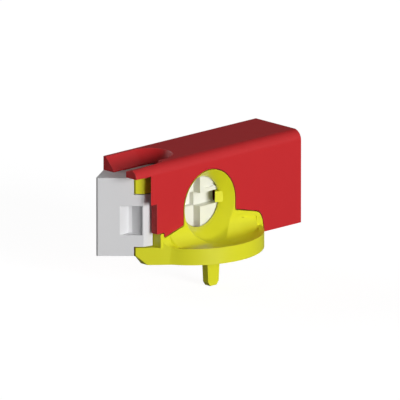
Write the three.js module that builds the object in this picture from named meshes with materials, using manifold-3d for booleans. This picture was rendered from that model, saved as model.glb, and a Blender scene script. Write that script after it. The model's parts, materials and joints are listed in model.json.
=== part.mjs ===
// Lockout hasp, in millimetres, +Z up.
// A spring-returned slide is pulled out of the left end of a housing one module wide.
// Pulled out, its own hole lines up with the padlock eye in the front and the hole in the back.
// X runs along the housing, Y from front (-) to back (+). The origin is on the housing's bottom
// face, under the middle of the padlock eye, halfway between the front and the back.

import * as THREE from 'three';
import { mergeVertices } from 'three/addons/utils/BufferGeometryUtils.js';
import { ConvexGeometry } from 'three/addons/geometries/ConvexGeometry.js';
import Module from 'manifold-3d';

const wasm = await Module();
wasm.setup();

// ---- driving dimensions ----

const MODULE_WIDTH = 18; // front to back
const HEIGHT = 26.4;
const RIGHT = 35.1;
const GAP = 0.3; // between neighbouring pieces
const TRAVEL = 15; // of the slide
const FAR = 60; // past everything, for cuts that run out of a piece
const ROUND = 48; // sides of a large circle
const SMALL_ROUND = 20; // sides of a pin or a screw

const FRONT = -MODULE_WIDTH / 2;
const BACK = MODULE_WIDTH / 2;

const EYE = { z: 11.8, bore: 7.15, mouth: 9.7, mouthDepth: 3.6, flare: 1.2, land: 0.12 };
const TROUGH = [[10.3, -FAR], [10.3, -16], [10.2, -11], [9.95, -9.6]]; // [radius, y] in front of the eye

const WALL = { front: 4.2, right: 2, floor: 2.3, tab: 2.6 };
const SHELL = {
  backLeft: -23.3, // left end of the back wall
  frontLeft: -22.4, // left end of the front wall, above the step in its edge
  stepLeft: -20.1, // left end of the front wall, below that step
  stepTop: 15.5,
  endWall: 2.2, // thickness of the front wall at its left end
  endWallRight: -18,
  tabLeft: -27.9, // left end of the strip in front of the thumb slot
  topRadius: 2.8, // along the top front edge
};
const CHANNEL = { front: FRONT + WALL.front, back: 4.9, floor: WALL.floor, roof: 22.8 };
CHANNEL.right = RIGHT - WALL.right;
const GUARD_BACK = CHANNEL.front - 0.1;

const THUMB_SLOT = {
  top: { front: -4.9, back: 8.1, tip: -6.3 },
  bottom: { front: CHANNEL.front, back: CHANNEL.back, tip: -8 },
  bottomZ: 22.9,
  // the bevel along the top of the strip in front of the slot, wider at its left end
  bevel: { innerZ: 25.5, right: -15.6, wide: -8.4, narrow: -6.6 },
};

const REBATE = { left: -21, right: 33, bottom: 1.8, top: 24.4, depth: 2 };
const BACK_OPENING = { left: -14, right: 30, bottom: 3, top: 21.4 };
const BOSS = { left: 30.2, lowTop: 6.6, highBottom: 18.6 };
const COVER_SCREWS = [[-17.5, 4.6], [-17.5, 21.6], [31.3, 4.4], [31.3, 21.4]];
const COVER_SCREW = { shank: 0.9, head: 1.8, headDepth: 0.9, length: 3.5 };

const GUARD_SCREWS = { left: [-13, 4.3], right: [13.5, 4.3] };
const GUARD_SCREW = { shank: 0.85, head: 1.6, headDepth: 0.7, length: 3.1 };

const FLANGE = 2; // thickness of the guard where it lies in the front wall
const DISH = {
  x: 1.4, // centre of its round edge, which is at mid-depth
  radius: 20.3,
  rim: 1.2, // thickness of the rim at its top
  draft: 0.3, // by which the rim is thicker at the floor
  rimTop: 2.4,
  bottom: -2.2,
  floor: 1.9,
  sweep: 4.8, // radius of the hollow curve from the floor up to the front face
};
const SHOULDER = {
  archFoot: 8.7, // where the arch's upright sides begin to curve out
  archLeftZ: 7.1, // height of the outline beside the arch
  archRightZ: 8.1,
  archCurve: 1.4, // width of the curve at the arch's foot
  right: 17.2, // where the right shoulder begins to curve down
  rightZ: 6.5,
  rightCurve: 20,
  rightEnd: 20.4,
  rightEndZ: 2.4,
  rightFoot: 20.9, // right end at the housing's bottom face
  footZ: -0.3,
  dishRight: 19.2,
  dishRightZ: -0.9,
  left: -17.1,
  leftZ: 5.3,
  end: -18.7, // left end of the guard above the lower hook
  endLean: 0.9, // the step up at the left end leans by this much
  endZ: 6.6,
};
const SHOULDER_RECESS = { depth: 0.9, left: 10.8, topLeft: 6.8, right: 16.8, topRight: 5.4, foot: 18.8 };
const HOOK_SWEEP = { radius: 2.4, right: -14 };
// Both hooks reach left of the housing, in front of the nose block.
const HOOK = {
  left: -23.4,
  leftY: -3.95,
  fold: [-21.8, -5.5], // where the upper hook's slanted face meets its front face
  foldEnd: [-18, -6.3],
  upperBottom: 18.1,
  upperTop: 22.5,
  upperBack: -2.4,
  armRight: -4.6, // the arm that joins the upper hook to the tube around the eye
  armBack: -4.9,
  armFront: -6.1,
  lowerTop: 2.7,
  lowerBack: -3.5,
  lowerFold: [-18.9, -8.1], // where the lower hook's slanted face curves into the round edge
  lowerCurve: [-17.3, -9.4], // the corner that this curve cuts off
  curveTurn: 0.09, // how far round the edge this curve ends, in radians
  right: -17.5, // where the lower hook joins the dish
  plateLeft: -17.6, // where the hook's slanted face leaves the front face
  bevelZ: 0.45, // the underside rises from here at the left end
  bevelRight: -21,
};
const KEY_TAB = {
  tip: [5.45, -5.4],
  root: [8.7, -6.8],
  end: 8.7,
  back: -3.2,
  tipBack: 7.6,
  bottom: 10.6,
  top: 13.6,
};
const PEG = { width: 5, depth: 2.1, y: -9.45, bottom: -11.1, taper: 0.5, bevel: 1.3, bevelHeight: 1.1 };

const NOSE = {
  tip: [-30.9, 3.3],
  tipBack: 3.9,
  fold: [-21.8, -5.42], // where the slanted front left face meets the strip beside the front wall
  tongue: [-19, -6.1],
  tongueBack: -2.3,
  right: -20,
  notchLeft: HOOK.left - GAP, // the notches that take the hooks
  notchBack: HOOK.upperBack + GAP,
  backLeft: -23.6,
  backY: 8.6,
  bottom: 0.4,
  top: 22.6,
  tongueTop: HOOK.upperBottom - GAP,
  tongueBottom: HOOK.lowerTop + GAP,
};
// `from` to `to` run along the slanted face from the tip.
const NAIL_POCKET = {
  from: 6.1,
  deepFrom: 8.4,
  deepTo: 9.4,
  to: 12.3,
  lip: 0.6,
  bottom: 6.3,
  top: 14.6,
  depth: 3,
};
const TENON = { left: -23.6, front: 1.5, back: 3.6, bottom: 4.5, top: 19.5 };
const NOSE_PIN = { x: -21.6, radius: 0.8, z: { lower: 7, upper: 17 }, front: 0.7, back: 4.3 };

const SLIDE = {
  left: -19.7,
  right: 29.6,
  front: -4.5,
  land: -1.9, // front of the part left of the ribs, and of the groove's floor between them
  deep: -0.3, // front of the groove's floor left of the ribs
  back: 4.6,
  bottom: 2.6,
  top: 22.5,
};
const RIB_LEFT = 0.6; // left end of the raised ribs behind the eye
const RIB_SLIT = { left: 2.2, right: 6.9, bottom: 15.1, top: 16.1, depth: 0.4 };
const GROOVE = { bottom: 10.1, top: 13.9, left: -12, right: KEY_TAB.end + TRAVEL + 0.4 };
const SHACKLE_X = TRAVEL; // where the slide's own hole rests
const THUMB_GRIPS = { from: -17.5, pitch: 2.4, count: 4, width: 1.1, depth: 0.7, back: 3.2 };

const PLATE = { margin: 2.6, thickness: 1.3, halfHeight: 8.8 };
const RIVET = { x: 8.2, z: 7.3, shank: 0.7, head: 1.1, headDepth: 0.5, length: 3.4 };

const SPRING = { z: 21.5, radius: 1, wire: 0.22, pitch: 1.8, left: 3.2, right: 30, channel: 1.8 };
const ANCHOR = { radius: 0.8, slideX: 1.6, housingX: 31.7, slideBottom: 15, housingTop: HEIGHT - 1 };
const BUFFER = { thickness: 1.7, halfWidth: 2.6, bottom: 8, top: 15.6 };

// ---- colours ----

const RED = { color: 0xc8282a, roughness: 0.45, metalness: 0 };
const YELLOW = { color: 0xe1e132, roughness: 0.4, metalness: 0 };
const GREY = { color: 0xc8c8c8, roughness: 0.55, metalness: 0 };
const WHITE = { color: 0xe6e6dc, roughness: 0.5, metalness: 0 };
const STEEL = { color: 0x9a9ea3, roughness: 0.35, metalness: 1 };
const SPRING_STEEL = { color: 0x7d8187, roughness: 0.3, metalness: 1 };
const RUBBER = { color: 0x1c1c1e, roughness: 0.85, metalness: 0 };

// ---- solids ----

function solid(geometry) {
  const bare = geometry.clone();
  bare.deleteAttribute('normal');
  bare.deleteAttribute('uv');
  const merged = mergeVertices(bare);
  return new wasm.Manifold(new wasm.Mesh({
    numProp: 3,
    vertProperties: new Float32Array(merged.attributes.position.array),
    triVerts: new Uint32Array(merged.index.array),
  }));
}

function toGeometry(piece) {
  const mesh = piece.getMesh();
  const geometry = new THREE.BufferGeometry();
  geometry.setAttribute('position', new THREE.BufferAttribute(mesh.vertProperties, 3));
  geometry.setIndex(new THREE.BufferAttribute(mesh.triVerts, 1));
  geometry.computeVertexNormals();
  return geometry;
}

function box(x0, x1, y0, y1, z0, z1) {
  const geometry = new THREE.BoxGeometry(x1 - x0, y1 - y0, z1 - z0);
  geometry.translate((x0 + x1) / 2, (y0 + y1) / 2, (z0 + z1) / 2);
  return solid(geometry);
}

function extruded(shape, length, basis, origin) {
  const options = { depth: length, bevelEnabled: false, curveSegments: 10 };
  const geometry = new THREE.ExtrudeGeometry(shape, options);
  geometry.applyMatrix4(new THREE.Matrix4().makeBasis(...basis).setPosition(origin));
  return solid(geometry);
}

const AXIS_X = new THREE.Vector3(1, 0, 0);
const AXIS_Y = new THREE.Vector3(0, 1, 0);
const AXIS_Z = new THREE.Vector3(0, 0, 1);

// A shape drawn in Y and Z, run along X.
function prismX(shape, x0, x1) {
  return extruded(shape, x1 - x0, [AXIS_Y, AXIS_Z, AXIS_X], new THREE.Vector3(x0, 0, 0));
}

// A shape drawn in X and Z, run along Y.
function prismY(shape, y0, y1) {
  const towardsFront = AXIS_Y.clone().negate();
  return extruded(shape, y1 - y0, [AXIS_X, AXIS_Z, towardsFront], new THREE.Vector3(0, y1, 0));
}

// A shape drawn in X and Y, run along Z.
function prismZ(shape, z0, z1) {
  return extruded(shape, z1 - z0, [AXIS_X, AXIS_Y, AXIS_Z], new THREE.Vector3(0, 0, z0));
}

function polygon(points) {
  return new THREE.Shape(points.map(([a, b]) => new THREE.Vector2(a, b)));
}

// A round bar along Y.
function barY(x, z, radius, y0, y1, sides = SMALL_ROUND) {
  const geometry = new THREE.CylinderGeometry(radius, radius, y1 - y0, sides);
  geometry.translate(x, (y0 + y1) / 2, z);
  return solid(geometry);
}

// A round bar along Z.
function barZ(x, y, radius, z0, z1, sides = SMALL_ROUND) {
  const geometry = new THREE.CylinderGeometry(radius, radius, z1 - z0, sides);
  geometry.rotateX(Math.PI / 2);
  geometry.translate(x, y, (z0 + z1) / 2);
  return solid(geometry);
}

// A body turned about a line along Y, from [radius, y] points.
function turnedY(profile, x, z, sides = ROUND) {
  const geometry = new THREE.LatheGeometry(profile.map(([r, y]) => new THREE.Vector2(r, y)), sides);
  geometry.translate(x, 0, z);
  return solid(geometry);
}

function arcPoints(count, point) {
  return Array.from({ length: count + 1 }, (_, i) => point(i / count));
}

// A countersunk screw or rivet along Y with its head at `headY`, running towards `direction`.
// `grow` widens it into the hole that it sits in.
function countersunk(size, x, z, headY, direction, grow = 0) {
  const along = (d) => headY + direction * d;
  const profile = [
    [0, along(-grow)],
    [size.head + grow, along(-grow)],
    [size.head + grow, along(grow)],
    [size.shank + grow, along(size.headDepth + grow)],
    [size.shank + grow, along(size.length + grow)],
    [0, along(size.length + grow)],
  ];
  if (direction < 0) profile.reverse();
  return turnedY(profile, x, z, SMALL_ROUND);
}

// A slot for a screwdriver across a countersunk head.
function driverSlot(size, x, z, headY, direction) {
  const depth = size.headDepth * 0.6;
  const low = Math.min(headY - direction, headY + direction * depth);
  const high = Math.max(headY - direction, headY + direction * depth);
  return box(x - FAR, x + FAR, low, high, z - 0.25, z + 0.25);
}

// ---- the outline that the guard fills in the front face, drawn in X and Z ----

function guardOutline(grow) {
  const arch = EYE.mouth + grow;
  const { archFoot, archLeftZ, archRightZ, archCurve, left, leftZ, end, endLean, endZ } = SHOULDER;
  const { right, rightZ, rightCurve, rightEnd, rightEndZ, rightFoot, footZ } = SHOULDER;
  const { dishRight, dishRightZ } = SHOULDER;
  const shape = new THREE.Shape();
  shape.moveTo(arch, archFoot + grow);
  shape.lineTo(arch, EYE.z);
  shape.absarc(0, EYE.z, arch, 0, Math.PI, false);
  shape.lineTo(-arch, archFoot - 1 + grow);
  shape.quadraticCurveTo(-arch, archLeftZ + grow, -arch - archCurve, archLeftZ - 0.1 + grow);
  shape.lineTo(left, leftZ + grow);
  shape.lineTo(left - endLean, endZ + grow);
  shape.lineTo(end - grow, endZ + grow);
  shape.lineTo(end - grow, DISH.bottom);
  shape.lineTo(dishRight, DISH.bottom);
  shape.lineTo(dishRight, dishRightZ);
  shape.lineTo(rightFoot + grow, footZ);
  shape.lineTo(rightEnd + grow, rightEndZ);
  shape.quadraticCurveTo(rightCurve + grow, rightZ - 0.3 + grow, right, rightZ + grow);
  shape.lineTo(arch + archCurve, archRightZ - 0.1 + grow);
  shape.quadraticCurveTo(arch, archRightZ + grow, arch, archFoot + grow);
  return shape;
}

// ---- red housing ----

function thumbSlot() {
  const { top, bottom, bottomZ } = THUMB_SLOT;
  const rimPoints = ({ front, back, tip }, z) => {
    const radius = (back - front) / 2;
    const middle = (back + front) / 2;
    const round = arcPoints(16, (t) => {
      const turn = Math.PI * (t - 0.5);
      return new THREE.Vector3(tip - radius + radius * Math.cos(turn), middle + radius * Math.sin(turn), z);
    });
    return [new THREE.Vector3(-FAR, front, z), ...round, new THREE.Vector3(-FAR, back, z)];
  };
  return solid(new ConvexGeometry([...rimPoints(top, HEIGHT + 0.001), ...rimPoints(bottom, bottomZ)]))
    .add(prismZ(polygon(rimPoints(top, 0).map((p) => [p.x, p.y])), HEIGHT, HEIGHT + 2))
    .add(prismZ(polygon(rimPoints(bottom, 0).map((p) => [p.x, p.y])), CHANNEL.roof - 1, bottomZ + 0.001));
}

// A bevel along the strip in front of the thumb slot.
function stripBevel() {
  const { innerZ, right, wide, narrow } = THUMB_SLOT.bevel;
  const inner = THUMB_SLOT.top.front + 0.2;
  const ends = [[SHELL.tabLeft - 1, wide], [right, narrow]];
  const corners = ends.flatMap(([x, outer]) => [
    new THREE.Vector3(x, inner, innerZ),
    new THREE.Vector3(x, outer, HEIGHT + 0.01),
    new THREE.Vector3(x, inner, HEIGHT + 1),
  ]);
  return solid(new ConvexGeometry(corners));
}

// Thins the front wall's left end from behind, and cuts it back at a slant above its step.
function wallEndRelief(top) {
  const inside = FRONT + SHELL.endWall;
  const slant = polygon([
    [SHELL.frontLeft - 1, FRONT],
    [SHELL.frontLeft, FRONT],
    [SHELL.frontLeft + SHELL.endWall + 0.1, inside],
    [SHELL.frontLeft - 1, inside],
  ]);
  return box(-FAR, SHELL.endWallRight, inside, CHANNEL.front + 0.1, NOSE.tongueBottom - GAP, CHANNEL.roof)
    .add(prismZ(slant, SHELL.stepTop, top));
}

function housingShell() {
  const section = new THREE.Shape();
  section.moveTo(FRONT, 0);
  section.lineTo(BACK, 0);
  section.lineTo(BACK, HEIGHT);
  section.lineTo(FRONT + SHELL.topRadius, HEIGHT);
  const { topRadius } = SHELL;
  section.absarc(FRONT + topRadius, HEIGHT - topRadius, topRadius, Math.PI / 2, Math.PI, false);
  const tabBottom = HEIGHT - WALL.tab;
  const shell = prismX(section, SHELL.tabLeft, RIGHT)
    .subtract(box(-FAR, SHELL.backLeft, CHANNEL.front, FAR, -1, FAR))
    .subtract(box(-FAR, SHELL.frontLeft, -FAR, CHANNEL.front, -1, tabBottom))
    .subtract(box(-FAR, SHELL.frontLeft - GAP, CHANNEL.front - 1, CHANNEL.back, -1, CHANNEL.floor + 1))
    .subtract(box(-FAR, SHELL.stepLeft, -FAR, CHANNEL.front + 0.1, -1, SHELL.stepTop))
    .subtract(box(-FAR, HOOK.right + GAP, -FAR, HOOK.lowerBack + GAP, -1, SHOULDER.endZ + GAP))
    .subtract(box(-FAR, CHANNEL.right, CHANNEL.front, CHANNEL.back, CHANNEL.floor, CHANNEL.roof))
    .subtract(wallEndRelief(tabBottom))
    .subtract(thumbSlot())
    .subtract(stripBevel());
  return shell
    .subtract(guardRecess())
    .subtract(backRecess())
    .add(screwBosses())
    .subtract(box(0, CHANNEL.right, -SPRING.channel, SPRING.channel, CHANNEL.roof - 1, SPRING.z + 2))
    .subtract(barZ(ANCHOR.housingX, 0, ANCHOR.radius + GAP, CHANNEL.roof - 1, ANCHOR.housingTop))
    .subtract(fastenerHoles());
}

function guardRecess() {
  const eyeTube = barY(0, EYE.z, EYE.mouth - 0.7 + GAP, -FAR, CHANNEL.front + 1, ROUND);
  const arm = box(-FAR, -4, HOOK.armFront - GAP, CHANNEL.front + 0.1, HOOK.upperBottom - GAP, CHANNEL.roof);
  return prismY(guardOutline(GAP), -FAR, FRONT + FLANGE + GAP).add(eyeTube).add(arm);
}

function backRecess() {
  const opening = box(
    BACK_OPENING.left, BACK_OPENING.right, CHANNEL.back - 0.1, BACK, BACK_OPENING.bottom, BACK_OPENING.top);
  return opening.add(box(REBATE.left, REBATE.right, BACK - REBATE.depth, FAR, REBATE.bottom, REBATE.top));
}

function screwBosses() {
  const back = BACK - REBATE.depth;
  const overlap = 0.2;
  const right = CHANNEL.right + overlap;
  return box(BOSS.left, right, CHANNEL.front - overlap, back, CHANNEL.floor - overlap, BOSS.lowTop)
    .add(box(BOSS.left, right, SPRING.channel + GAP, back, BOSS.highBottom, CHANNEL.roof + overlap));
}

function fastenerHoles() {
  const coverHoles = COVER_SCREWS.map(([x, z]) => countersunk(COVER_SCREW, x, z, BACK, -1, GAP));
  const guardHoles = Object.values(GUARD_SCREWS)
    .map(([x, z]) => countersunk(GUARD_SCREW, x, z, GUARD_BACK, -1, GAP));
  return wasm.Manifold.union([...coverHoles, ...guardHoles]);
}

function rearCover() {
  const hole = EYE.bore + 0.4;
  const funnel = turnedY([
    [0, 0],
    [hole, 0],
    [hole, BACK - 0.8],
    [hole + 0.9, BACK + 0.1],
    [0, BACK + 0.1],
  ], 0, EYE.z);
  let cover = box(REBATE.left + GAP, REBATE.right - GAP, BACK - REBATE.depth + GAP, BACK,
    REBATE.bottom + GAP, REBATE.top - GAP).subtract(funnel);
  for (const [x, z] of COVER_SCREWS) {
    cover = cover.subtract(countersunk(COVER_SCREW, x, z, BACK, -1, GAP));
  }
  return cover;
}

// ---- yellow padlock guard ----

// The dish seen from above: the hook's slanted face at the left, then the round edge.
function dishPlan(radius) {
  const start = Math.PI + Math.asin(-FRONT / DISH.radius) + HOOK.curveTurn;
  const end = 2 * Math.PI - Math.asin(-(FRONT + FLANGE) / radius);
  const shape = new THREE.Shape();
  shape.moveTo(HOOK.left, HOOK.lowerBack);
  shape.lineTo(HOOK.left, HOOK.leftY);
  shape.lineTo(...HOOK.lowerFold);
  shape.quadraticCurveTo(
    ...HOOK.lowerCurve,
    DISH.x + radius * Math.cos(start),
    radius * Math.sin(start),
  );
  shape.absarc(DISH.x, 0, radius, start, end, false);
  shape.lineTo(HOOK.right, radius * Math.sin(end));
  shape.lineTo(HOOK.right, HOOK.lowerBack);
  return shape;
}

// The hollow of the dish: a flat floor that sweeps up to an upright face at `back`.
function dishHollow(back) {
  const section = new THREE.Shape();
  section.moveTo(-FAR, FAR);
  section.lineTo(-FAR, DISH.floor);
  section.lineTo(back - DISH.sweep, DISH.floor);
  section.absarc(back - DISH.sweep, DISH.floor + DISH.sweep, DISH.sweep, -Math.PI / 2, 0, false);
  section.lineTo(back, FAR);
  const inner = DISH.radius - DISH.rim;
  const height = 20;
  const cup = new THREE.CylinderGeometry(inner + DISH.draft * 2, inner - DISH.draft, height, 72);
  cup.rotateX(Math.PI / 2);
  cup.translate(DISH.x, 0, DISH.floor + height / 2 - 0.01);
  return prismX(section, -FAR, FAR).intersect(solid(cup));
}

// Sets the right shoulder back inside a lip.
function shoulderRecess() {
  const { depth, left, topLeft, right, topRight, foot } = SHOULDER_RECESS;
  const shape = new THREE.Shape();
  shape.moveTo(left, DISH.bottom);
  shape.lineTo(left, topLeft);
  shape.lineTo(right, topRight);
  shape.quadraticCurveTo(foot, topRight, foot, DISH.floor);
  shape.lineTo(foot, DISH.bottom);
  return dishHollow(FRONT + depth).intersect(prismY(shape, -FAR, 0));
}

// A small sweep from the lower hook's top up to the front face.
function hookSweep() {
  const { radius, right } = HOOK_SWEEP;
  const bottom = DISH.rimTop + 0.1;
  const run = prismY(guardOutline(0), FRONT - radius, FRONT)
    .intersect(box(-FAR, right, -FAR, FAR, DISH.bottom, bottom + radius))
    .intersect(prismZ(dishPlan(DISH.radius), DISH.bottom, FAR));
  const scoop = new THREE.CylinderGeometry(radius, radius, FAR, ROUND);
  scoop.rotateZ(Math.PI / 2);
  scoop.translate(0, FRONT - radius, bottom + radius);
  return run.subtract(solid(scoop));
}

// The eye flares to its mouth. A trough runs on from the mouth across the dish's floor.
function eyeBore() {
  const mouthRadius = EYE.mouth - EYE.land;
  const mouth = arcPoints(10, (t) => [
    EYE.bore + (mouthRadius - EYE.bore) * (1 - t) ** EYE.flare,
    FRONT + EYE.mouthDepth * t,
  ]);
  const inner = DISH.radius - DISH.rim;
  const trough = turnedY([[0, -FAR], ...TROUGH, [mouthRadius, FRONT], [0, FRONT]], 0, EYE.z, 64)
    .intersect(barZ(DISH.x, 0, inner, -FAR, FAR, 72));
  return turnedY([[0, FRONT], ...mouth, [EYE.bore, 5], [0, 5]], 0, EYE.z, 64).add(trough);
}

function upperHook() {
  const plan = polygon([
    [HOOK.left, HOOK.leftY],
    HOOK.fold,
    HOOK.foldEnd,
    [HOOK.foldEnd[0] + 0.5, HOOK.armFront],
    [HOOK.armRight, HOOK.armFront],
    [HOOK.armRight, HOOK.armBack],
    [HOOK.foldEnd[0] - 0.4, HOOK.armBack],
    [HOOK.foldEnd[0] - 0.4, HOOK.upperBack],
    [HOOK.left, HOOK.upperBack],
  ]);
  return prismZ(plan, HOOK.upperBottom, HOOK.upperTop);
}

// The tab that runs in the slide's groove and stops the slide at full travel.
function keyTab() {
  const plan = polygon([
    KEY_TAB.tip,
    KEY_TAB.root,
    [KEY_TAB.end, KEY_TAB.back],
    [KEY_TAB.tipBack, KEY_TAB.back],
  ]);
  return prismZ(plan, KEY_TAB.bottom, KEY_TAB.top);
}

// Cuts the lower hook's underside back towards its left end.
function hookBevel() {
  const { left, bevelZ, bevelRight } = HOOK;
  return prismY(polygon([
    [left - 1, DISH.bottom - 1],
    [bevelRight, DISH.bottom - 1],
    [bevelRight, DISH.bottom],
    [left, bevelZ],
    [left - 1, bevelZ],
  ]), -FAR, FAR);
}

function locatingPeg() {
  const half = PEG.width / 2;
  const low = PEG.bottom + PEG.bevelHeight;
  const shape = polygon([
    [-half, DISH.bottom + 0.5],
    [-half + PEG.taper, low],
    [-half + PEG.bevel, PEG.bottom],
    [half - PEG.bevel, PEG.bottom],
    [half - PEG.taper, low],
    [half, DISH.bottom + 0.5],
  ]);
  return prismY(shape, PEG.y - PEG.depth / 2, PEG.y + PEG.depth / 2);
}

function padlockGuard() {
  const flangeBack = FRONT + FLANGE;
  const frame = prismY(guardOutline(0), FRONT, flangeBack)
    .add(box(SHOULDER.end, HOOK.right, FRONT, GUARD_BACK, HOOK.lowerTop - 1, SHOULDER.endZ))
    .subtract(box(-FAR, HOOK.plateLeft, -FAR, FAR, -FAR, HOOK.lowerTop));
  const tube = barY(0, EYE.z, EYE.mouth - 0.7, FRONT + 0.5, HOOK.armBack, ROUND);
  const dish = prismZ(dishPlan(DISH.radius), DISH.bottom, HOOK.lowerTop)
    .subtract(box(-15.5, FAR, -FAR, FRONT, DISH.rimTop, FAR));
  const sweep = prismY(guardOutline(0), FRONT - DISH.sweep, FRONT)
    .intersect(box(-17, 20.5, -FAR, FAR, DISH.bottom, FAR))
    .intersect(barZ(DISH.x, 0, DISH.radius - DISH.rim - DISH.draft, -FAR, FAR, 72))
    .intersect(box(-FAR, FAR, -FAR, FAR, -FAR, DISH.floor + DISH.sweep));
  let guard = frame.add(tube).add(dish).add(sweep).add(upperHook())
    .subtract(dishHollow(FRONT))
    .subtract(shoulderRecess())
    .add(hookSweep())
    .subtract(eyeBore())
    .subtract(hookBevel())
    .add(keyTab())
    .add(locatingPeg());
  for (const [x, z] of Object.values(GUARD_SCREWS)) {
    guard = guard.subtract(countersunk(GUARD_SCREW, x, z, GUARD_BACK, -1, GAP));
  }
  return guard;
}

// ---- slide ----

function noseBlock() {
  const plan = polygon([
    NOSE.tip,
    NOSE.fold,
    NOSE.tongue,
    [NOSE.tongue[0], NOSE.tongueBack],
    [NOSE.right, NOSE.tongueBack],
    [NOSE.right, SLIDE.back],
    [NOSE.backLeft, SLIDE.back],
    [NOSE.backLeft, NOSE.backY],
    [NOSE.tip[0], NOSE.tipBack],
  ]);
  const upperNotch = box(NOSE.notchLeft, FAR, -FAR, NOSE.notchBack, NOSE.tongueTop, FAR);
  const lowerNotch = box(NOSE.notchLeft, FAR, -FAR, FAR, -FAR, NOSE.tongueBottom);
  const mortise = box(TENON.left - GAP, FAR, TENON.front - GAP, TENON.back + GAP,
    TENON.bottom - GAP, TENON.top + GAP);
  let nose = prismZ(plan, NOSE.bottom, NOSE.top)
    .subtract(upperNotch)
    .subtract(lowerNotch)
    .subtract(nailPocket())
    .subtract(mortise);
  for (const z of Object.values(NOSE_PIN.z)) {
    nose = nose.subtract(barY(NOSE_PIN.x, z, NOSE_PIN.radius + GAP, NOSE_PIN.front - GAP, FAR));
  }
  return nose;
}

// The pocket in the slanted front face: a steep left side to pull on and a long slope from the right.
function nailPocket() {
  const { from, deepFrom, deepTo, to, lip, bottom, top, depth } = NAIL_POCKET;
  const slope = polygon([
    [from, -1],
    [from, 0],
    [deepFrom, depth],
    [deepTo, depth],
    [to, lip],
    [to, -1],
  ]);
  const geometry = new THREE.ExtrudeGeometry(slope, { depth: top - bottom, bevelEnabled: false });
  const [tipX, tipY] = NOSE.tip;
  const along = new THREE.Vector3(NOSE.fold[0] - tipX, NOSE.fold[1] - tipY, 0).normalize();
  const inward = new THREE.Vector3(-along.y, along.x, 0);
  const onTheFace = new THREE.Matrix4().makeBasis(along, inward, AXIS_Z);
  geometry.applyMatrix4(onTheFace.setPosition(tipX, tipY, bottom));
  return solid(geometry);
}

function slideCarrier() {
  const { left, right, front, land, deep, back, bottom, top } = SLIDE;
  let carrier = box(left, right, front, back, bottom, top)
    .add(box(TENON.left, left + 1, TENON.front, TENON.back, TENON.bottom, TENON.top))
    .subtract(box(-FAR, RIB_LEFT, front - 1, land, -FAR, FAR))
    .subtract(box(RIB_LEFT - 1, GROOVE.right, front - 1, land, GROOVE.bottom, GROOVE.top))
    .subtract(box(GROOVE.left, RIB_LEFT, front - 1, deep, GROOVE.bottom, GROOVE.top))
    .subtract(box(RIB_SLIT.left, RIB_SLIT.right, front - 1, front + RIB_SLIT.depth,
      RIB_SLIT.bottom, RIB_SLIT.top))
    .subtract(barY(SHACKLE_X, EYE.z, EYE.bore, -FAR, FAR, 64))
    .subtract(box(0, FAR, -SPRING.channel, SPRING.channel, SPRING.z - 1.6, FAR))
    .subtract(barZ(ANCHOR.slideX, 0, ANCHOR.radius + GAP, ANCHOR.slideBottom, FAR));
  const grips = THUMB_GRIPS;
  for (let i = 0; i < grips.count; i++) {
    const x = grips.from + i * grips.pitch;
    carrier = carrier.subtract(box(x, x + grips.width, -FAR, grips.back, top - grips.depth, FAR));
  }
  for (const z of Object.values(NOSE_PIN.z)) {
    carrier = carrier.subtract(barY(NOSE_PIN.x, z, NOSE_PIN.radius + GAP, -FAR, FAR));
  }
  for (const [x, z] of rivetPlaces()) {
    carrier = carrier.subtract(countersunk(RIVET, x, z, plateBack(), -1, GAP));
  }
  return carrier;
}

function rivetPlaces() {
  const corners = [[-1, -1], [1, -1], [-1, 1], [1, 1]];
  return corners.map(([a, b]) => [SHACKLE_X + a * RIVET.x, EYE.z + b * RIVET.z]);
}

function plateBack() {
  return SLIDE.back + GAP + PLATE.thickness;
}

function shacklePlate() {
  const half = EYE.bore + PLATE.margin;
  let plate = box(SHACKLE_X - half, SHACKLE_X + half, SLIDE.back + GAP, plateBack(),
    EYE.z - PLATE.halfHeight, EYE.z + PLATE.halfHeight)
    .subtract(barY(SHACKLE_X, EYE.z, EYE.bore + 0.15, -FAR, FAR, 64));
  for (const [x, z] of rivetPlaces()) {
    plate = plate.subtract(countersunk(RIVET, x, z, plateBack(), -1, GAP));
  }
  return plate;
}

// ---- spring and small parts ----

class CoilPath extends THREE.Curve {
  constructor(turns) {
    super();
    this.turns = turns;
  }

  getPoint(t, target = new THREE.Vector3()) {
    const turn = 2 * Math.PI * this.turns * t;
    const x = SPRING.left + (SPRING.right - SPRING.left) * t;
    return target.set(x, SPRING.radius * Math.cos(turn), SPRING.z + SPRING.radius * Math.sin(turn));
  }
}

function returnSpring() {
  const turns = Math.round((SPRING.right - SPRING.left) / SPRING.pitch);
  const wire = new THREE.Shape();
  wire.absarc(0, 0, SPRING.wire, 0, 2 * Math.PI, false);
  const geometry = new THREE.ExtrudeGeometry(wire, {
    steps: turns * 10,
    curveSegments: 3,
    extrudePath: new CoilPath(turns),
  });
  return solid(geometry);
}

function screw(size, x, z, headY, direction) {
  return countersunk(size, x, z, headY, direction).subtract(driverSlot(size, x, z, headY, direction));
}

// ---- assembly ----

const group = new THREE.Group();

function place(name, piece, finish) {
  const mesh = new THREE.Mesh(toGeometry(piece), new THREE.MeshStandardMaterial(finish));
  mesh.name = name;
  group.add(mesh);
}

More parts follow.
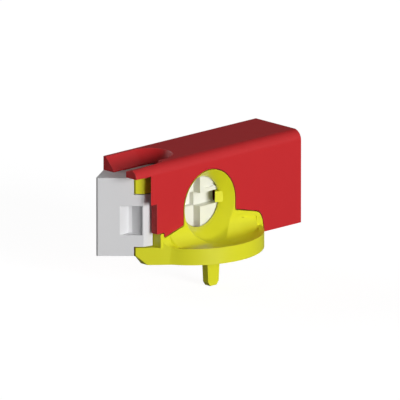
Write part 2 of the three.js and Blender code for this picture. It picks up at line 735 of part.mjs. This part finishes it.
place('housing_shell', housingShell(), RED);
place('rear_cover', rearCover(), RED);
place('padlock_guard', padlockGuard(), YELLOW);
COVER_SCREWS.forEach(([x, z], i) => {
  place(`cover_screw_${i + 1}`, screw(COVER_SCREW, x, z, BACK, -1), STEEL);
});
for (const [side, [x, z]] of Object.entries(GUARD_SCREWS)) {
  place(`guard_screw_${side}`, screw(GUARD_SCREW, x, z, GUARD_BACK, -1), STEEL);
}
place('spring_anchor_housing',
  barZ(ANCHOR.housingX, 0, ANCHOR.radius, SPRING.z - 2, ANCHOR.housingTop - GAP), STEEL);
place('return_buffer', box(CHANNEL.right - GAP - BUFFER.thickness, CHANNEL.right - GAP,
  -BUFFER.halfWidth, BUFFER.halfWidth, BUFFER.bottom, BUFFER.top), RUBBER);

place('nose_block', noseBlock(), GREY);
place('slide_carrier', slideCarrier(), WHITE);
for (const [level, z] of Object.entries(NOSE_PIN.z)) {
  place(`nose_pin_${level}`, barY(NOSE_PIN.x, z, NOSE_PIN.radius, NOSE_PIN.front, NOSE_PIN.back), STEEL);
}
place('shackle_plate', shacklePlate(), STEEL);
rivetPlaces().forEach(([x, z], i) => {
  place(`plate_rivet_${i + 1}`, countersunk(RIVET, x, z, plateBack(), -1), STEEL);
});
place('spring_anchor_slide',
  barZ(ANCHOR.slideX, 0, ANCHOR.radius, ANCHOR.slideBottom + GAP, SLIDE.top), STEEL);
place('return_spring', returnSpring(), SPRING_STEEL);

export default group;
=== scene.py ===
"""Looks of the lockout hasp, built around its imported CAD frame.

Every part but the return spring is a finer copy of its CAD node, with its flat faces joined and its
edges rounded, and rides on the same body. The return spring keeps its CAD mesh. Lengths are metres.
"""

import json
import math

import bmesh
import bpy
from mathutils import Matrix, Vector


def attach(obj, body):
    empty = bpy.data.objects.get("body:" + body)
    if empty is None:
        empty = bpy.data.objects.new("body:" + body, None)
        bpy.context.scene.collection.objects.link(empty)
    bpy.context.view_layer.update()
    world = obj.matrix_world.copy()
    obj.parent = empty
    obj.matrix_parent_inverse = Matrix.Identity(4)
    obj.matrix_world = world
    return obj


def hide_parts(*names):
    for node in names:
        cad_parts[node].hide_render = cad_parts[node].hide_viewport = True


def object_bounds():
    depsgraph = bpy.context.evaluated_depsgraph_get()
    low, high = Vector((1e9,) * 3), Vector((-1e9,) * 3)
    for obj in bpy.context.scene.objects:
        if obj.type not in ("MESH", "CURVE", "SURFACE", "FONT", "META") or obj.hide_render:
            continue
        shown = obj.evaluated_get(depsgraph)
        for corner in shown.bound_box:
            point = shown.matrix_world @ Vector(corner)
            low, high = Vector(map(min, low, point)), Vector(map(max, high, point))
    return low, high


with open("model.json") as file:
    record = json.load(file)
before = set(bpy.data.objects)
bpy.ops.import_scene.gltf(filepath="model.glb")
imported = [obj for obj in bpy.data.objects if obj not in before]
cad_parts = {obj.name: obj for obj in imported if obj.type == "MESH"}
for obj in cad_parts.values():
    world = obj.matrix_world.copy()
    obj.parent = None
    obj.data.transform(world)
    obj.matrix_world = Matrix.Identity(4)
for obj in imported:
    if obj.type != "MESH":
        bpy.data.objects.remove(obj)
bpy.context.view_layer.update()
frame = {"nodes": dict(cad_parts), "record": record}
MM = 0.001

# ---- view ----

VIEW_AZIMUTH = -43.9  # degrees; 0 looks along +Y
VIEW_ELEVATION = 15.1
VIEW_DISTANCE = 5.0
VIEW_HEIGHT = 110.3 * MM  # what the square picture spans at the object's distance
VIEW_AIM = Vector((2.56, -2.46, 11.22)) * MM  # the point in the middle of the picture
SENSOR = 36  # width of the camera's sensor, in millimetres

# ---- light ----

# azimuth, elevation, strength and apparent width of each light; angles are in degrees
LIGHTS = {
    "key": (-6, 8, 3.15, 30),
    "back_fill": (-168, 14, 1.2, 50),
    "right_fill": (80, 10, 0.5, 60),
}
AMBIENT = 0.13
FLOOR_SIZE = 3.0
FLOOR_GAP = 0.3 * MM  # between the floor and the object's lowest point
FLOOR_GREY = (0.3, 0.3, 0.3, 1)
FLOOR_GLOW = 0.9


def direction(azimuth, elevation):
    """The unit vector from the object towards an eye or a light at these angles, in degrees."""
    a, e = math.radians(azimuth), math.radians(elevation)
    return Vector((math.sin(a) * math.cos(e), -math.cos(a) * math.cos(e), math.sin(e)))


def add_camera():
    data = bpy.data.cameras.new("camera")
    data.sensor_width = SENSOR
    data.lens = SENSOR * VIEW_DISTANCE / VIEW_HEIGHT
    data.clip_start = 1
    data.clip_end = 20
    camera = bpy.data.objects.new("camera", data)
    towards = direction(VIEW_AZIMUTH, VIEW_ELEVATION)
    camera.location = VIEW_AIM + towards * VIEW_DISTANCE
    camera.rotation_euler = (-towards).to_track_quat("-Z", "Y").to_euler()
    bpy.context.collection.objects.link(camera)
    bpy.context.scene.camera = camera


# ---- node helpers ----


class Nodes:
    """A small wrapper that adds and links shader nodes."""

    def __init__(self, tree):
        self.tree = tree
        tree.nodes.clear()

    def add(self, kind, inputs=None, **settings):
        node = self.tree.nodes.new(kind)
        for name, value in settings.items():
            setattr(node, name, value)
        for name, value in (inputs or {}).items():
            if isinstance(value, bpy.types.NodeSocket):
                self.tree.links.new(value, node.inputs[name])
            else:
                node.inputs[name].default_value = value
        return node

    def link(self, source, target):
        self.tree.links.new(source, target)

    def noise(self, position, scale, detail=2.0, roughness=0.5):
        node = self.add("ShaderNodeTexNoise", {"Scale": scale, "Detail": detail, "Roughness": roughness})
        self.link(position, node.inputs["Vector"])
        return node.outputs["Fac"]

    def spread(self, value, low, high):
        """Maps a 0 to 1 texture onto low to high."""
        node = self.add("ShaderNodeMapRange", {"Value": value, "To Min": low, "To Max": high})
        return node.outputs["Result"]

    def mix(self, factor, first, second):
        node = self.add("ShaderNodeMix", data_type="RGBA")
        self.link(factor, node.inputs["Factor"])
        node.inputs["A"].default_value = (*first, 1)
        node.inputs["B"].default_value = (*second, 1)
        return node.outputs["Result"]

    def bump(self, height, strength, distance):
        node = self.add("ShaderNodeBump", {"Strength": strength, "Distance": distance, "Height": height})
        return node.outputs["Normal"]


def shaded(color, amount):
    return tuple(min(1, channel * amount) for channel in color)


def new_material(name):
    material = bpy.data.materials.new(name)
    material.use_nodes = True
    nodes = Nodes(material.node_tree)
    position = nodes.add("ShaderNodeTexCoord").outputs["Object"]
    return material, nodes, position


def finish_material(nodes, color, roughness, normal, **constants):
    shader = nodes.add("ShaderNodeBsdfPrincipled", {
        "Base Color": color,
        "Roughness": roughness,
        "Normal": normal,
    })
    for name, value in constants.items():
        shader.inputs[name.replace("_", " ")].default_value = value
    output = nodes.add("ShaderNodeOutputMaterial")
    nodes.link(shader.outputs["BSDF"], output.inputs["Surface"])


# ---- materials ----

# noise scales: the higher, the finer
CLOUDS = 90
WAVES = 240
GRAIN = 5200
METAL_LINES = 900
TARNISH = 300
PORES = 3000

IOR = 1.46
COAT_ROUGHNESS = 0.25
GLOSS_SPREAD = 0.03  # how far the waves move the roughness
GRAIN_SPREAD = 0.06  # how far the grain moves it
EDGE_HIGHLIGHT_PALENESS = 0.14  # how far a rounded edge goes towards white: a painted highlight along the edges
EDGE_HIGHLIGHT_SMOOTHING = 0.1  # by how much a rounded edge, painted paler as a highlight, is less rough


def painted_edge_highlight(color):
    """The paler colour painted along the rounded edges as a highlight."""
    return tuple(channel + (1 - channel) * EDGE_HIGHLIGHT_PALENESS for channel in color)


def moulded_plastic(name, color, roughness, grain, flow=0.03, coat=0.0):
    """Moulded plastic: faint flow clouds, a spark-eroded grain and uneven gloss."""
    material, nodes, position = new_material(name)
    clouds = nodes.noise(position, CLOUDS, detail=3)
    fine = nodes.noise(position, GRAIN, detail=4, roughness=0.65)
    waves = nodes.noise(position, WAVES, detail=2)
    tint = nodes.mix(clouds, shaded(color, 1 - flow), shaded(color, 1 + flow))
    uneven = nodes.add("ShaderNodeMath", operation="ADD")
    nodes.link(nodes.spread(fine, -GRAIN_SPREAD, GRAIN_SPREAD), uneven.inputs[0])
    gloss = nodes.spread(waves, roughness - GLOSS_SPREAD, roughness + GLOSS_SPREAD)
    nodes.link(gloss, uneven.inputs[1])
    height = nodes.add("ShaderNodeMath", operation="ADD")
    nodes.link(nodes.spread(fine, 0, grain), height.inputs[0])
    nodes.link(nodes.spread(waves, 0, grain * 0.6), height.inputs[1])
    normal = nodes.bump(height.outputs[0], 0.5, 0.02 * MM)
    constants = {"Coat_Weight": coat, "Coat_Roughness": COAT_ROUGHNESS, "IOR": IOR}
    finish_material(nodes, tint, uneven.outputs[0], normal, **constants)
    return material


def brushed_metal(name, color, roughness, stretch):
    """Metal with fine lines along one axis and slight tarnish."""
    material, nodes, position = new_material(name)
    mapping = nodes.add("ShaderNodeMapping", {"Vector": position, "Scale": stretch})
    lines = nodes.noise(mapping.outputs["Vector"], METAL_LINES, detail=4, roughness=0.6)
    tarnish = nodes.noise(position, TARNISH, detail=3)
    tint = nodes.mix(tarnish, shaded(color, 0.86), shaded(color, 1.08))
    normal = nodes.bump(lines, 0.35, 0.01 * MM)
    uneven = nodes.spread(lines, roughness - 0.08, roughness + 0.12)
    finish_material(nodes, tint, uneven, normal, Metallic=1.0)
    return material


def rubber():
    material, nodes, position = new_material("rubber")
    pores = nodes.noise(position, PORES, detail=3, roughness=0.7)
    tint = nodes.mix(pores, (0.014, 0.014, 0.015), (0.03, 0.03, 0.032))
    finish_material(nodes, tint, nodes.spread(pores, 0.75, 0.95), nodes.bump(pores, 0.6, 0.03 * MM))
    return material


def plastic_pair(name, color, roughness, grain, flow=0.03, coat=0.0):
    """A moulded plastic and its paler, smoother copy for the rounded edges, where the paleness is a
    painted highlight.
    """
    plain = moulded_plastic(name, color, roughness, grain, flow, coat)
    smoother = roughness - EDGE_HIGHLIGHT_SMOOTHING
    return plain, moulded_plastic(name + "_edge", painted_edge_highlight(color), smoother, grain / 2, flow * 2, coat)


RED = plastic_pair("red_plastic", (0.58, 0.016, 0.02), 0.45, grain=0.8)
YELLOW = plastic_pair("yellow_plastic", (0.76, 0.75, 0.02), 0.36, grain=0.35, coat=0.12)
GREY = plastic_pair("grey_plastic", (0.76, 0.76, 0.77), 0.46, grain=0.6)
WHITE = plastic_pair("white_plastic", (0.83, 0.83, 0.77), 0.42, grain=0.4)
# metal and rubber look the same along their edges, so their pairs hold one material twice
PLATE = [brushed_metal("plate_steel", (0.6, 0.61, 0.63), 0.3, (1, 1, 14))] * 2
FASTENER = [brushed_metal("fastener_steel", (0.58, 0.59, 0.61), 0.28, (5, 1, 5))] * 2
SPRING = brushed_metal("spring_steel", (0.42, 0.43, 0.46), 0.26, (14, 1, 1))
RUBBER = [rubber()] * 2


# ---- pieces ----

WELD = 0.002 * MM  # corners closer than this are one corner
FLAT = math.radians(0.6)  # faces closer in angle than this are one flat face
EDGE = math.radians(28)  # edges sharper than this are rounded
SMOOTH = math.radians(30)  # edges softer than this are shaded smooth
PLAIN_FACES = 0  # a piece's first material is for its faces, its second for its rounded edges
ROUNDED_EDGES = 1
LARGEST_FACES_ONLY = 100  # weight that gives a corner's normal to its largest faces


def node_body(node):
    for body, members in frame["record"]["behaviour"]["bodies"].items():
        if node in members:
            return body
    raise ValueError(node)


def node_slot(node):
    return next(part["material_slot"] for part in frame["record"]["subparts"] if part["node"] == node)


def evaluated(piece):
    """Bakes a piece's modifiers into its mesh."""
    graph = bpy.context.evaluated_depsgraph_get()
    mesh = bpy.data.meshes.new_from_object(piece.evaluated_get(graph))
    piece.modifiers.clear()
    piece.data = mesh


def join_flat_faces(mesh):
    form = bmesh.new()
    form.from_mesh(mesh)
    bmesh.ops.remove_doubles(form, verts=form.verts, dist=WELD)
    bmesh.ops.dissolve_degenerate(form, edges=form.edges, dist=WELD)
    bmesh.ops.dissolve_limit(form, angle_limit=FLAT, verts=form.verts, edges=form.edges)
    form.to_mesh(mesh)
    form.free()


def round_edges(piece, width, segments):
    bevel = piece.modifiers.new("edges", "BEVEL")
    bevel.width = width
    bevel.segments = segments
    bevel.limit_method = "ANGLE"
    bevel.angle_limit = EDGE
    bevel.use_clamp_overlap = True
    bevel.miter_outer = "MITER_ARC"
    # the rounded edges take the second, paler material: a painted highlight along every edge
    bevel.material = ROUNDED_EDGES
    evaluated(piece)


def even_shading(piece):
    """Points each corner's normal with its largest face, so that flat faces shade flat."""
    weighted = piece.modifiers.new("shading", "WEIGHTED_NORMAL")
    weighted.keep_sharp = True
    weighted.weight = LARGEST_FACES_ONLY
    evaluated(piece)


def finished(node, materials, edge, segments):
    """A finer copy of a CAD node, with rounded edges of their own material, standing for it."""
    mesh = frame["nodes"][node].data.copy()
    piece = bpy.data.objects.new(node + "_finished", mesh)
    bpy.context.collection.objects.link(piece)
    join_flat_faces(mesh)
    mesh.materials.clear()
    for material in materials:
        mesh.materials.append(material)
    for face in mesh.polygons:
        face.material_index = PLAIN_FACES
    round_edges(piece, edge, segments)
    for face in piece.data.polygons:
        face.use_smooth = True
    piece.data.set_sharp_from_angle(angle=SMOOTH)
    even_shading(piece)
    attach(piece, node_body(node))
    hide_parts(node)
    return piece


# materials, width of the rounded edges and steps across them, for each large piece
PIECES = {
    "housing_shell": (RED, 0.25 * MM, 3),
    "rear_cover": (RED, 0.2 * MM, 3),
    "padlock_guard": (YELLOW, 0.3 * MM, 3),
    "nose_block": (GREY, 0.3 * MM, 3),
    "slide_carrier": (WHITE, 0.15 * MM, 3),
    "shackle_plate": (PLATE, 0.12 * MM, 2),
    "return_buffer": (RUBBER, 0.3 * MM, 3),
}
FASTENER_EDGE = 0.06 * MM


def add_pieces():
    for node, looks in PIECES.items():
        finished(node, *looks)
    for node in sorted(frame["nodes"]):
        if node_slot(node) == "fastener_steel":
            finished(node, FASTENER, FASTENER_EDGE, 2)
    spring = frame["nodes"]["return_spring"]
    spring.data.materials.clear()
    spring.data.materials.append(SPRING)


# ---- stage ----


def add_floor():
    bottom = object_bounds()[0].z - FLOOR_GAP
    bpy.ops.mesh.primitive_plane_add(size=FLOOR_SIZE, location=(0, 0, bottom))
    floor = bpy.context.object
    floor.name = "floor"
    material = bpy.data.materials.new("floor")
    material.use_nodes = True
    nodes = Nodes(material.node_tree)
    seen = nodes.add("ShaderNodeLightPath").outputs["Is Camera Ray"]
    strength = nodes.add("ShaderNodeMath", {0: seen, 1: FLOOR_GLOW}, operation="MULTIPLY")
    glow = nodes.add("ShaderNodeEmission", {"Strength": strength.outputs[0]})
    matt = nodes.add("ShaderNodeBsdfDiffuse", {"Color": FLOOR_GREY})
    both = nodes.add("ShaderNodeAddShader")
    nodes.link(glow.outputs[0], both.inputs[0])
    nodes.link(matt.outputs[0], both.inputs[1])
    output = nodes.add("ShaderNodeOutputMaterial")
    nodes.link(both.outputs[0], output.inputs["Surface"])
    floor.data.materials.append(material)


def add_sun(name, azimuth, elevation, strength, softness):
    data = bpy.data.lights.new(name, "SUN")
    data.energy = strength
    data.angle = math.radians(softness)
    sun = bpy.data.objects.new(name, data)
    sun.rotation_euler = direction(azimuth, elevation).to_track_quat("Z", "Y").to_euler()
    bpy.context.collection.objects.link(sun)


def add_world():
    world = bpy.data.worlds.new("studio")
    bpy.context.scene.world = world
    world.use_nodes = True
    nodes = Nodes(world.node_tree)
    seen = nodes.add("ShaderNodeLightPath").outputs["Is Camera Ray"]
    strength = nodes.spread(seen, AMBIENT, 1.0)
    background = nodes.add("ShaderNodeBackground", {"Strength": strength})
    output = nodes.add("ShaderNodeOutputWorld")
    nodes.link(background.outputs[0], output.inputs["Surface"])


def add_stage():
    bpy.context.scene.view_settings.view_transform = "Standard"
    add_floor()
    add_world()
    for name, settings in LIGHTS.items():
        add_sun(name, *settings)


add_camera()
add_pieces()
add_stage()
